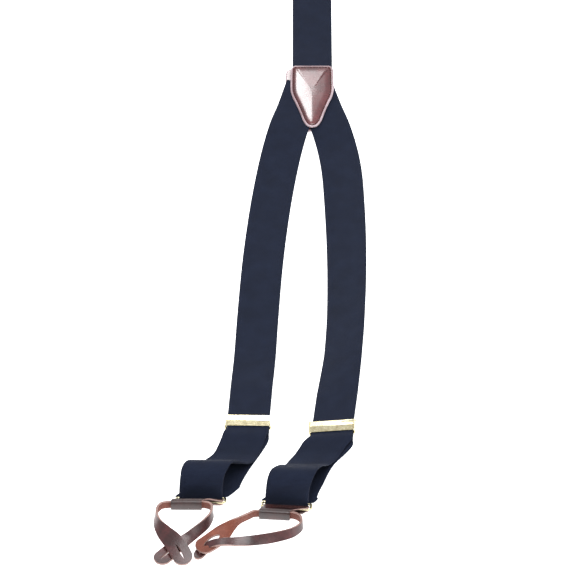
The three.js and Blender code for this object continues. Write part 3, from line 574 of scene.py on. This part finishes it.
def web_strip(name, points, directions, step, start_run=0.0):
    """Webbing that follows a line, with its width along directions. Returns it and its length."""
    (middle, across), run = even(points, step, directions)
    across = unit(across)
    tangent = tangents(middle)
    slant = np.maximum(0.8, np.linalg.norm(np.cross(tangent, across), axis=1))[:, None]
    through = unit(np.cross(tangent, across)) * WEB_HALF
    across = across * (WEB_WIDTH / 2) / slant
    section = web_section()
    rows = (middle[:, None] + across[:, None] * section[None, :, :1]
            + through[:, None] * section[None, :, 1:])
    count = len(section)
    uvs = np.zeros((len(middle), count, 2))
    uvs[..., 0] = section[None, :, 0] * WEB_WIDTH / 2 * MM
    uvs[..., 1] = ((start_run + run) * MM)[:, None]
    faces = tube_faces(len(middle), count)
    obj = make_mesh(name, rows.reshape(-1, 3), faces, [WEBBING], uvs=uvs.reshape(-1, 2))
    return outward(obj), run[-1]


def plan_perpendicular(tangent, lean):
    """Directions across a line as seen from above, each leant by its own angle."""
    flat = unit(np.stack([-tangent[:, 1], tangent[:, 0], 0 * tangent[:, 0]], 1))
    lean = np.radians(lean)[:, None]
    return unit(flat * np.cos(lean) + UP * np.sin(lean))


def wrap_points(side, start):
    """Points of an arc round a ring's upper bar, from an angle at its front to underneath it."""
    angle = np.radians(np.linspace(start, 180, 6))
    y = -WRAP_RADIUS * np.sin(angle)
    z = RING_HEIGHT + WRAP_RADIUS * np.cos(angle)
    return placed(end_place(side), np.stack([0 * y, y, z], 1))


def front_webbing(side):
    """A front strap in two pieces: down to the ring, and round the ring and back."""
    per = SPAN_STEPS
    place, end = adjuster_place(side), end_place(side)
    long = np.array(LONG_STRAPS[side], float)
    straight = placed(place, [(0, y, STRAP_Z) for y in (44, 36, -4, -8)])
    slack = placed(end, SLACK_LEGS[side])
    wrap = wrap_points(side, 75)
    line = np.vstack([long[:, :3], straight, slack, wrap])
    points = spline(line, per)
    tangent = tangents(points)
    adjuster_across = unit(place[:3, 0])
    ring_across = unit(end[:3, 0])
    long_across = plan_perpendicular(tangent[: len(long) * per: per], long[:, 3])
    long_across *= np.sign(long_across @ adjuster_across)[:, None]
    share = (np.arange(len(slack)) + 1)[:, None] / len(slack)
    across = np.vstack([
        long_across,
        np.repeat(adjuster_across[None], 4, 0),
        unit(adjuster_across * (1 - share) + ring_across * share),
        np.repeat(ring_across[None], len(wrap), 0),
    ])
    at = np.arange(len(points)) / per
    directions = np.stack([np.interp(at, np.arange(len(across)), across[:, k]) for k in range(3)], 1)
    first_wrap = (len(long) + 4 + len(slack)) * per
    strap, run = web_strip(
        f"front_webbing_{side}", points[: first_wrap + 1], directions[: first_wrap + 1], 1.6)
    back_points, back_across = return_line(side)
    loop, _ = web_strip(
        f"return_webbing_{side}", np.vstack([points[first_wrap:], back_points]),
        np.vstack([directions[first_wrap:], back_across]), 0.8, run)
    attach(strap, "root")
    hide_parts(f"front_strap_{side}")
    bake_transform(loop)
    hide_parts(f"return_leg_{side}")


def return_line(side):
    """The way back from under the ring to the fold round the adjuster's rear bar."""
    place, end = adjuster_place(side), end_place(side)
    bottom = RING_HEIGHT - WRAP_RADIUS
    start = placed(end, [(0, y, bottom + y * 0.02) for y in (0.6, 3)])
    under = placed(end, RETURN_LEGS[side])
    edge = -SLIDE_LENGTH / 2 + BAR_LENGTH
    turn = edge + 2 * CLEARANCE + WEB_HALF
    middle = (ON_TABLE + TAIL_Z) / 2
    fold = placed(place, [(0, y, z) for y, z in (
        (-16, ON_TABLE), (-11, ON_TABLE), (edge - 0.2, ON_TABLE), (turn - 0.3, middle - 0.8),
        (turn, middle), (turn - 0.3, middle + 0.8), (edge - 0.2, TAIL_Z), (-14, TAIL_Z))])
    points = spline(np.vstack([start, under, fold]), SPAN_STEPS)
    at = np.clip((np.arange(len(points)) / SPAN_STEPS - 1) / (len(under) + 1), 0, 1)[:, None]
    across = unit(unit(end[:3, 0]) * (1 - at) + unit(place[:3, 0]) * at)
    return points, across


def back_webbing():
    """The back strap, round its ring and back under itself."""
    bottom = RING_HEIGHT - WRAP_RADIUS
    top = RING_HEIGHT + WRAP_RADIUS
    tail_end = BACK_RING_Y - BACK_TAIL
    over = bottom + WEB_THICKNESS + CLEARANCE
    before = [
        (STRAP_BUTT_Y, LOWER_LAYER), (44, LOWER_LAYER), (70, ON_TABLE + 0.2), (100, ON_TABLE),
        (tail_end - 40, ON_TABLE), (tail_end - 24, ON_TABLE + 0.2), (tail_end - 4, over),
        (BACK_RING_Y - 12, over), (BACK_RING_Y - 2.2, top - 0.2)]
    tail = [(BACK_RING_Y - 1.5, bottom), (BACK_RING_Y - 8, bottom), (tail_end, bottom)]
    line = np.vstack([
        [(BACK_STRAP_X, y, z) for y, z in before], wrap_points("back", 20),
        [(BACK_STRAP_X, y, z) for y, z in tail]])
    points = spline(line, SPAN_STEPS)
    directions = np.repeat([[1.0, 0, 0]], len(points), 0)
    strap, _ = web_strip("back_webbing", points, directions, 1.0)
    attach(strap, "root")
    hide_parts("back_strap")


for side in SIDES:
    front_webbing(side)
back_webbing()


# ------------------------------------------------------------------ stitches
def stitches(name, paths, radius, material, body, node=None):
    """Separate thread stitches: each path is the few points that one stitch follows."""
    vertices, faces = [], []
    sides = 6
    for path in paths:
        path = np.asarray(path, float)
        tangent = tangents(path)
        side = unit(np.cross(tangent, UP + 0.001))
        lift = unit(np.cross(side, tangent))
        base = len(vertices)
        ends = [0.45, *([1.0] * (len(path) - 2)), 0.45]
        for p, s, u, e in zip(path, side, lift, ends):
            for k in range(sides):
                a = 2 * math.pi * k / sides
                vertices.append(p + (s * math.cos(a) + u * math.sin(a)) * radius * e)
        faces += [tuple(base + i for i in f) for f in tube_faces(len(path), sides)]
    obj = make_mesh(name, vertices, faces, [material])
    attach(obj, body)
    if node:
        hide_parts(node)
    return obj


# ------------------------------------------------------------------ the back patch
def patch_outline(node, count=180):
    """A patch leather's outline, by even steps of its length, and its inward directions."""
    low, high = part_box(node)
    half, shift = (high.x - low.x) / 2 / MM, (high.x + low.x) / 2 / MM
    top, tip = high.y / MM, low.y / MM
    side = np.array([
        (half * 0.8, top), (half * 0.95, top - 3), (half * 0.985, top - 10), (half, top - 24),
        (half * 0.99, top - 37), (half * 0.91, top - 46), (half * 0.78, top - 54),
        (half * 0.58, top - 68), (half * 0.39, tip + 8), (half * 0.22, tip + 2), (0, tip)], float)
    right = spline(np.column_stack([side, 0 * side[:, 0]]), 12)
    left = right[::-1][1:].copy()
    left[:, 0] *= -1
    ring = np.vstack([right, left, right[:1]]) + (shift, 0, 0)
    (ring,), _ = even(ring, 0.3)
    for _ in range(14):
        ring = (np.roll(ring, 1, 0) + ring + np.roll(ring, -1, 0)) / 3
    (ring,), _ = even(np.vstack([ring, ring[:1]]), 0.3)
    at = np.linspace(0, len(ring) - 1, count + 1)[:-1]
    ring = np.stack([np.interp(at, np.arange(len(ring)), ring[:, k]) for k in range(3)], 1)
    inward = unit(np.cross(UP, tangents(ring, closed=True)))
    centre = np.array([shift, top - (top - tip) * 0.42, 0])
    inward *= np.sign(np.einsum("ij,ij->i", inward, centre - ring))[:, None]
    return ring, inward, centre


def patch_layers(name, node, profile, thickness, skin):
    """A patch leather from rings that step inward. profile gives inset, height and material."""
    ring, inward, centre = patch_outline(node)
    count = len(ring)
    vertices, faces, materials = [], [], []
    for inset, height, _ in profile:
        if inset < EDGE_BAND:
            row = ring + inward * inset
        else:
            edge = ring + inward * EDGE_BAND
            row = edge + (centre - edge) * (inset - EDGE_BAND)
        row = row.copy()
        row[:, 2] = height
        vertices.append(row)
    rows = len(profile)
    vertices = np.vstack([*vertices, centre + UP * profile[-1][1]])
    for i in range(rows - 1):
        for j in range(count):
            k = (j + 1) % count
            faces.append((i * count + j, i * count + k, (i + 1) * count + k, (i + 1) * count + j))
            materials.append(profile[i][2])
    last = (rows - 1) * count
    for j in range(count):
        faces.append((last + j, last + (j + 1) % count, len(vertices) - 1))
        materials.append(profile[-1][2])
    base = len(vertices)
    under = vertices[:count].copy()
    under[:, 2] -= thickness
    bottom_centre = centre + UP * (profile[0][1] - thickness)
    vertices = np.vstack([vertices, under, bottom_centre])
    for j in range(count):
        k = (j + 1) % count
        faces.append((j, base + j, base + k, k))
        materials.append(1)
        faces.append((base + k, base + j, base + count))
        materials.append(0)
    obj = make_mesh(name, vertices, faces, skin, materials)
    outward(obj)
    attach(obj, "root")
    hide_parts(node)
    return obj


def back_patch():
    """The patch's two leathers and the stitching round the front one."""
    top = PATCH_TOP
    # inset from the edge, height, and 0 for the skin or 1 for the pale rim; past the edge band
    # the inset is the share of the way to the middle, plus the band
    front = [
        (0.0, top - PATCH_RIM_DEPTH, 1), (0.25, top - 0.35, 1), (0.7, top - 0.05, 1), (1.25, top + 0.08, 1),
        (1.7, top + 0.06, 0), (2.2, top - 0.1, 0), (2.6, top - 0.32, 0), (3.0, top - 0.4, 0),
        (3.4, top - 0.3, 0), (3.9, top + 0.02, 0), (4.6, top + 0.25, 0), (6.0, top + 0.5, 0),
        (EDGE_BAND, top + 0.75, 0), *[
            (EDGE_BAND + share, top + 0.75 + 0.4 * math.sin(share * math.pi / 2), 0)
            for share in (0.12, 0.24, 0.36, 0.48, 0.6, 0.72, 0.84, 0.93)],
    ]
    thickness = PATCH_LEATHER - PATCH_RIM_DEPTH
    skins = [PATCH_SKIN, PATCH_RIM]
    piece = patch_layers("patch_front_leather", "patch_front", front, thickness, skins)
    tilt_patch(piece)
    behind = PATCH_LEATHER
    back = [
        (-0.4, behind - 0.4, 1), (0.0, behind - 0.05, 1), (0.8, behind, 0), (4.0, behind, 0),
        (EDGE_BAND + 0.5, behind, 0)]
    patch_layers("patch_back_leather", "patch_back", back, PATCH_LEATHER - 0.4, skins)
    ring, inward, _ = patch_outline("patch_front", 240)
    path = ring + inward * PATCH_STITCH_INSET
    path[:, 2] = top - 0.12
    (path,), _ = even(np.vstack([path, path[:1]]), 0.5)
    seams = []
    for start in range(0, len(path) - 6, 6):
        stitch = path[start: start + 6].copy()
        stitch[:, 2] += np.array([-0.35, 0.05, 0.12, 0.12, 0.05, -0.35])
        seams.append(stitch)
    stitches("patch_stitches", seams, PATCH_THREAD_RADIUS, THREAD, "root", "patch_stitching")


def tilt_patch(obj):
    """Lets the front leather sink a little at its sides, where no webbing lies under it."""
    for vertex in obj.data.vertices:
        x, y = vertex.co.x / MM, vertex.co.y / MM
        beside = max(0.0, abs(x - PATCH_SHIFT) - 18.5) * max(0.0, 1 - abs(y - 12) / 24)
        vertex.co.z -= min(0.35, 0.12 * beside) * MM


back_patch()


# ------------------------------------------------------------------ leather ends
def ring_wire(side):
    """A ring of round wire with bent corners."""
    half_x = RING_INSIDE / 2 + WIRE / 2 - RING_BEND
    half_y = RING_PITCH / 2 - RING_BEND
    corners = (
        (half_x, half_y, 0), (-half_x, half_y, 90),
        (-half_x, -half_y, 180), (half_x, -half_y, 270))
    path = []
    for x, y, start in corners:
        middle_y = y - RING_PITCH / 2
        for angle in np.radians(np.linspace(start, start + 90, 9)):
            path.append((x + RING_BEND * math.cos(angle), middle_y + RING_BEND * math.sin(angle), 0))
    path = np.array(path)
    tangent = tangents(path, closed=True)
    out = np.cross(tangent, UP)
    angles = 2 * math.pi * (np.arange(16) + 0.5) / 16
    rows = (path[:, None] + out[:, None] * np.cos(angles)[None, :, None] * WIRE / 2
            + UP * np.sin(angles)[None, :, None] * WIRE / 2)
    tilt = np.array(Matrix.Rotation(-math.radians(END_PLACES[side]["tilt"]), 4, "X"))
    tilt[2, 3] = RING_HEIGHT
    points = placed(end_place(side) @ tilt, rows.reshape(-1, 3))
    obj = outward(make_mesh(f"{side}_ring_wire", points, tube_faces(len(path), 16, True), [BRASS]))
    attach(obj, f"{side}_ring_body")
    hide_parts(f"{side}_ring")


def leather_sheet(name, grid, thickness, skins):
    """Leather of one thickness on a grid of points: grain side, flesh side and cut edges."""
    rows, count, _ = grid.shape
    faces = []
    for i in range(rows - 1):
        for j in range(count - 1):
            a = i * count + j
            faces.append((a, a + 1, a + count + 1, a + count))
    obj = make_mesh(name, grid.reshape(-1, 3), faces, skins)
    thick = obj.modifiers.new("thickness", "SOLIDIFY")
    thick.thickness = thickness * MM
    thick.offset = 0
    thick.use_even_offset = True
    thick.material_offset = 1
    thick.material_offset_rim = 2
    add_bevel(obj, 0.28, 3, 50)
    return obj


def cuff_path(side):
    """A cuff's fold as seen from its side: round the ring's bar and round the tunnel."""
    bar_y, bar_z = ring_bar(side)
    tunnel = tunnel_y(side)
    middle = TUNNEL_Z + END_PLACES[side]["lift"]
    high, low = middle + TUNNEL_HALF_HEIGHT, middle - TUNNEL_HALF_HEIGHT
    bend = 0.6
    seam = bar_y - 3.6
    angles = np.radians(-80 + 30.0 * np.arange(7))
    return np.array([
        (seam, low), (bar_y - 1.2, min(bar_z - CUFF_WRAP + 0.2, low + 1.6)),
        *[(bar_y + CUFF_WRAP * math.cos(a), bar_z + CUFF_WRAP * math.sin(a)) for a in angles],
        (tunnel + TUNNEL_HALF_DEPTH, high), (tunnel, high + 0.05),
        (tunnel - TUNNEL_HALF_DEPTH + bend, high - 0.1), (tunnel - TUNNEL_HALF_DEPTH, high - bend),
        (tunnel - TUNNEL_HALF_DEPTH, low + bend), (tunnel - TUNNEL_HALF_DEPTH + bend, low + 0.1),
        (tunnel + bend, low), (seam - CUFF_LEATHER * 0.75, low)])


def cuff_piece(side):
    """A cuff: one strip that narrows from the ring's bar to the tunnel."""
    bar_y, _ = ring_bar(side)
    tunnel = tunnel_y(side)
    skew = END_PLACES[side]["skew"]
    path = cuff_path(side)
    line = spline(np.column_stack([0 * path[:, 0], path]), 5)
    across = np.linspace(-1, 1, 19)
    share = np.clip((bar_y - line[:, 1]) / (bar_y - tunnel), 0, 1)
    half = (CUFF_WIDTH + (CUFF_END_WIDTH - CUFF_WIDTH) * share) / 2
    grid = np.repeat(line[:, None], len(across), 1)
    grid[..., 0] = skew * share[:, None] + half[:, None] * across[None]
    grid = placed(end_place(side), grid.reshape(-1, 3)).reshape(grid.shape)
    obj = leather_sheet(f"{side}_cuff_leather", grid, CUFF_LEATHER, [CUFF_SKIN, CUFF_SKIN, RAW_EDGE])
    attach(obj, f"{side}_cuff_body")
    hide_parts(f"{side}_cuff")
    cuff_seam(side, line, share, half, skew)


def cuff_seam(side, line, share, half, skew):
    """A row of stitches across the front of the cuff, just below the ring's bar."""
    front = [i for i in range(len(line) - 1) if 0.30 < share[i] < 0.72 and line[i, 2] > TUNNEL_Z]
    if not front:
        front = [int(np.argmin(abs(share - 0.4)))]
    row = front[0]
    along = unit(line[row + 1] - line[row])
    normal = unit(np.cross(along, (1, 0, 0)))
    if normal[2] < 0:
        normal = -normal
    width = half[row] - 2.2
    rises = np.array([[-0.25], [0.12], [0.18], [0.12], [-0.25]])
    seams = []
    for x in np.arange(-width, width, CUFF_STITCH_PITCH):
        ends = np.linspace(x, x + CUFF_STITCH_PITCH * 0.72, 5)
        stitch = np.array([line[row] + np.array([skew * share[row] + e, 0, 0]) for e in ends])
        stitch += normal * CUFF_LEATHER / 2 + normal * rises
        seams.append(placed(end_place(side), stitch))
    stitches(f"{side}_cuff_stitches", seams, CUFF_THREAD_RADIUS, THREAD, f"{side}_cuff_body")


def tab_stations(side):
    """Middle, across and half width of a button strap, by even steps along it."""
    path = np.array(TAB_PATHS[side], float)
    shift = np.array([END_PLACES[side]["skew"], tunnel_y(side), 0])
    points = spline(path[:, :3] + shift, 12)
    shape = spline(np.column_stack([path[:, 3:], 0 * path[:, 3]]), 12, centripetal=False)
    (points, shape), run = even(points, 0.9, shape)
    tangent = tangents(points)
    flat = unit(np.cross(tangent, UP))
    rise = np.cross(flat, tangent)
    roll = np.radians(shape[:, 0])[:, None]
    across = flat * np.cos(roll) + rise * np.sin(roll)
    half = (TAB_WIDTH + (TAB_END_WIDTH - TAB_WIDTH) * np.clip(shape[:, 1], 0, 1)) / 2
    return points, tangent, across, half, run


def button_strap(side):
    """A button strap: a leather sheet with a split middle that opens at its buttonholes."""
    points, tangent, across, half, run = tab_stations(side)
    total = run[-1]
    from_end = np.minimum(run, total - run)
    tip = half[0] * 0.92
    rounded = np.sqrt(np.clip(1 - (1 - np.clip(from_end / tip, 0, 1)) ** 2, 0.02, 1))
    half = half * rounded
    shares = np.array([-1, -0.86, -0.66, -0.46, -0.28, -0.12, 0, 0, 0.12, 0.28, 0.46, 0.66, 0.86, 1])
    opening = buttonhole_opening(side, run, total)
    grid = np.zeros((len(points), len(shares), 3))
    through = unit(np.cross(tangent, across))
    lift = lips(side, run, total, opening)
    for j, a in enumerate(shares):
        sign = -1 if j < len(shares) // 2 else 1
        pushed = a * half + sign * opening * (1 - abs(a)) ** 1.3
        raised = sign * lift * (1 - abs(a))
        grid[:, j] = points + across * pushed[:, None] + through * raised[:, None]
    grid = placed(end_place(side), grid.reshape(-1, 3)).reshape(grid.shape)
    obj = split_sheet(f"{side}_button_strap_leather", grid, opening > 0.05)
    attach(obj, f"{side}_button_strap_body")
    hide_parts(f"{side}_button_strap")


def buttonhole_opening(side, run, total):
    """Half the gap that the two buttonholes leave, along the strap."""
    opening = np.zeros(len(run))
    for place, length, widest in buttonholes(side, total):
        u = (run - place) / length
        inside = (u > 0) & (u < 1)
        opening[inside] += widest * np.sin(np.pi * u[inside]) ** 0.6
    return opening


def buttonholes(side, total):
    """Where each buttonhole starts, how long it is, and half its widest gap."""
    if side == "right":
        return [(7.5, 19.0, 2.9), (total - 17.5, 12.0, 0.8)]
    return [(6.0, 16.0, 0.8), (total - 22.0, 16.0, 0.8)]


def lips(side, run, total, opening):
    """How far a buttonhole's lips stand out of the strap, where the strap passes through itself."""
    if side != "right":
        return np.zeros(len(run))
    return np.where(run < total / 2, opening * 0.35, 0)


def split_sheet(name, grid, is_open):
    """A strap on a grid whose middle column is double: it opens where is_open says."""
    rows, count, _ = grid.shape
    left_middle, right_middle = count // 2 - 1, count // 2
    index = np.arange(rows * count).reshape(rows, count)
    for i in range(rows):
        if not is_open[i]:
            index[i, right_middle] = index[i, left_middle]
    faces = []
    for i in range(rows - 1):
        for j in range(count - 1):
            if j == left_middle:
                continue
            faces.append((index[i, j], index[i, j + 1], index[i + 1, j + 1], index[i + 1, j]))
    obj = make_mesh(name, grid.reshape(-1, 3), faces, [STRAP_GRAIN, STRAP_FLESH, RAW_EDGE])
    used = {v for p in obj.data.polygons for v in p.vertices}
    remove_vertices(obj, [i for i in range(len(obj.data.vertices)) if i not in used])
    thick = obj.modifiers.new("thickness", "SOLIDIFY")
    thick.thickness = TAB_THICKNESS * MM
    thick.offset = 0
    thick.material_offset = 1
    thick.material_offset_rim = 2
    add_bevel(obj, 0.35, 3, 50)
    return obj


def remove_vertices(obj, which):
    """Takes vertices out of an object's mesh."""
    work = bmesh.new()
    work.from_mesh(obj.data)
    work.verts.ensure_lookup_table()
    bmesh.ops.delete(work, geom=[work.verts[i] for i in which], context="VERTS")
    work.to_mesh(obj.data)
    work.free()


for side in ENDS:
    ring_wire(side)
    cuff_piece(side)
    button_strap(side)


# ------------------------------------------------------------------ adjusters and bar tack
def dress_cad_node(name, material, bevel):
    """A CAD node that stays: its corners are welded and softened, and it gets its finish."""
    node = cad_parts[name]
    node.data.materials.clear()
    node.data.materials.append(material)
    weld = node.modifiers.new("weld", "WELD")
    weld.merge_threshold = 0.00001
    add_bevel(node, bevel, 2, 30)


for side in SIDES:
    for piece, bevel in (("frame", 0.16), ("lever", 0.2), ("pin", 0.1)):
        dress_cad_node(f"adjuster_{piece}_{side}", BRASS, bevel)


def bar_tack():
    """Dense zigzag stitching across the back strap's sewn end."""
    low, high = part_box("back_bar_tack")
    bottom = low.z / MM - 0.25
    seams = []
    for row, x in enumerate(np.arange(low.x / MM, high.x / MM, TACK_PITCH)):
        y0, y1 = low.y / MM, high.y / MM
        if row % 2:
            y0, y1 = y1, y0
        ys = np.linspace(y0, y1, 5)
        xs = np.linspace(x, x + TACK_PITCH, 5)
        zs = bottom + np.array([-0.1, 0.22, 0.3, 0.22, -0.1])
        seams.append(np.column_stack([xs, ys, zs]))
    stitches(
        "back_bar_tack_stitches", seams, TACK_THREAD_RADIUS, NAVY_THREAD, "root", "back_bar_tack")


bar_tack()
